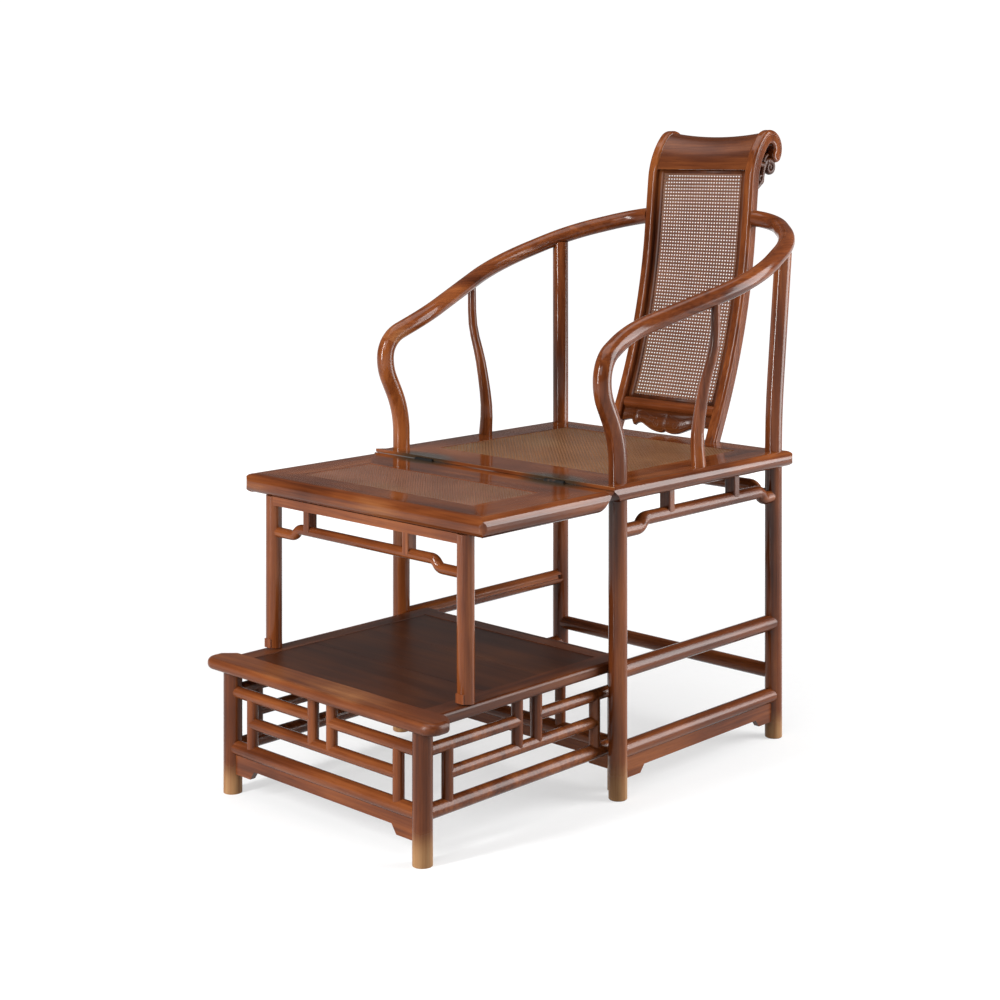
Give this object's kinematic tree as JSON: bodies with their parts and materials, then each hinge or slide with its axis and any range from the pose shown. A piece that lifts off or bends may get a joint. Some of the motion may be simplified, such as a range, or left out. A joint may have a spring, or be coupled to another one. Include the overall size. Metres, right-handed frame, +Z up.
{
  "type": "reclining horseshoe armchair with leg rest and footstool",
  "caption": "Hardwood horseshoe armchair with caned seat, tall S-curved caned back ending in a scrolled headrest, hinged leg rest on a folding leg frame, and a sliding footstool.",
  "frame": {"origin": "floor, at the middle of the overall box", "axes": "+X to the viewer's right when facing the chair, +Y from the footstool to the back, +Z up"},
  "size_m": [0.62, 1.0606, 1.0648],
  "materials": {
    "hardwood": "polished dark reddish-brown hardwood",
    "boards": "polished, darker and duller than the frame",
    "seat_cane": "tight woven cane, tan",
    "leg_rest_cane": "tight woven cane, reddish tan",
    "back_cane": "open woven cane",
    "iron": "dark forged iron"
  },
  "bodies": {
    "chair": {"arm_front_left": "hardwood", "arm_front_right": "hardwood", "arm_rear_left": "hardwood", "arm_rear_right": "hardwood", "arm_supports": "hardwood", "back_apron": "hardwood", "back_cane": "back_cane", "back_lower_rail": "hardwood", "back_stile_left": "hardwood", "back_stile_right": "hardwood", "front_leg_left": "hardwood", "front_leg_right": "hardwood", "headrest_board": "hardwood", "humpback_left": "hardwood", "humpback_rear": "hardwood", "humpback_right": "hardwood", "humpback_struts": "hardwood", "lower_aprons": "hardwood", "lower_stretchers": "hardwood", "rear_leg_left": "hardwood", "rear_leg_right": "hardwood", "rear_stretcher": "hardwood", "scroll_brackets": "hardwood", "seat_battens": "hardwood", "seat_cane": "seat_cane", "seat_hinge_leaves": "iron", "seat_hinge_pins": "iron", "seat_rail_front": "hardwood", "seat_rail_left": "hardwood", "seat_rail_rear": "hardwood", "seat_rail_right": "hardwood", "side_stretcher_left": "hardwood", "side_stretcher_right": "hardwood"},
    "leg_rest": {"leg_rest_batten": "hardwood", "leg_rest_cane": "leg_rest_cane", "leg_rest_rail_front": "hardwood", "leg_rest_rail_left": "hardwood", "leg_rest_rail_rear": "hardwood", "leg_rest_rail_right": "hardwood", "rest_hinge_leaves": "iron", "frame_hinge_plates": "iron"},
    "leg_frame": {"frame_leg_left": "hardwood", "frame_leg_right": "hardwood", "frame_top_rail": "hardwood", "frame_humpback": "hardwood", "frame_struts": "hardwood", "foot_blocks": "hardwood", "frame_hinge_leaves": "iron", "frame_hinge_pins": "iron"},
    "footstool": {"stool_aprons": "hardwood", "stool_boards": "boards", "stool_bottom_rails": "hardwood", "stool_front_rail": "hardwood", "stool_guide_tongues": "hardwood", "stool_lattice_rails": "hardwood", "stool_legs": "hardwood", "stool_rear_rail": "hardwood", "stool_side_rails": "hardwood", "stool_struts": "hardwood"}
  },
  "joints": [
    {"name": "leg_rest_lift", "type": "hinge", "parent": "chair", "child": "leg_rest", "pos_m": [0, -0.14355, 0.494], "axis": [-1, 0, 0], "range_deg": [0, 75]},
    {"name": "leg_frame_fold", "type": "hinge", "parent": "leg_rest", "child": "leg_frame", "pos_m": [0, -0.4041, 0.4597], "axis": [1, 0, 0], "range_deg": [0, 90]},
    {"name": "footstool_slide", "type": "slide", "parent": "chair", "child": "footstool", "axis": [0, 1, 0], "range_m": [0, 0.358]}
  ]
}
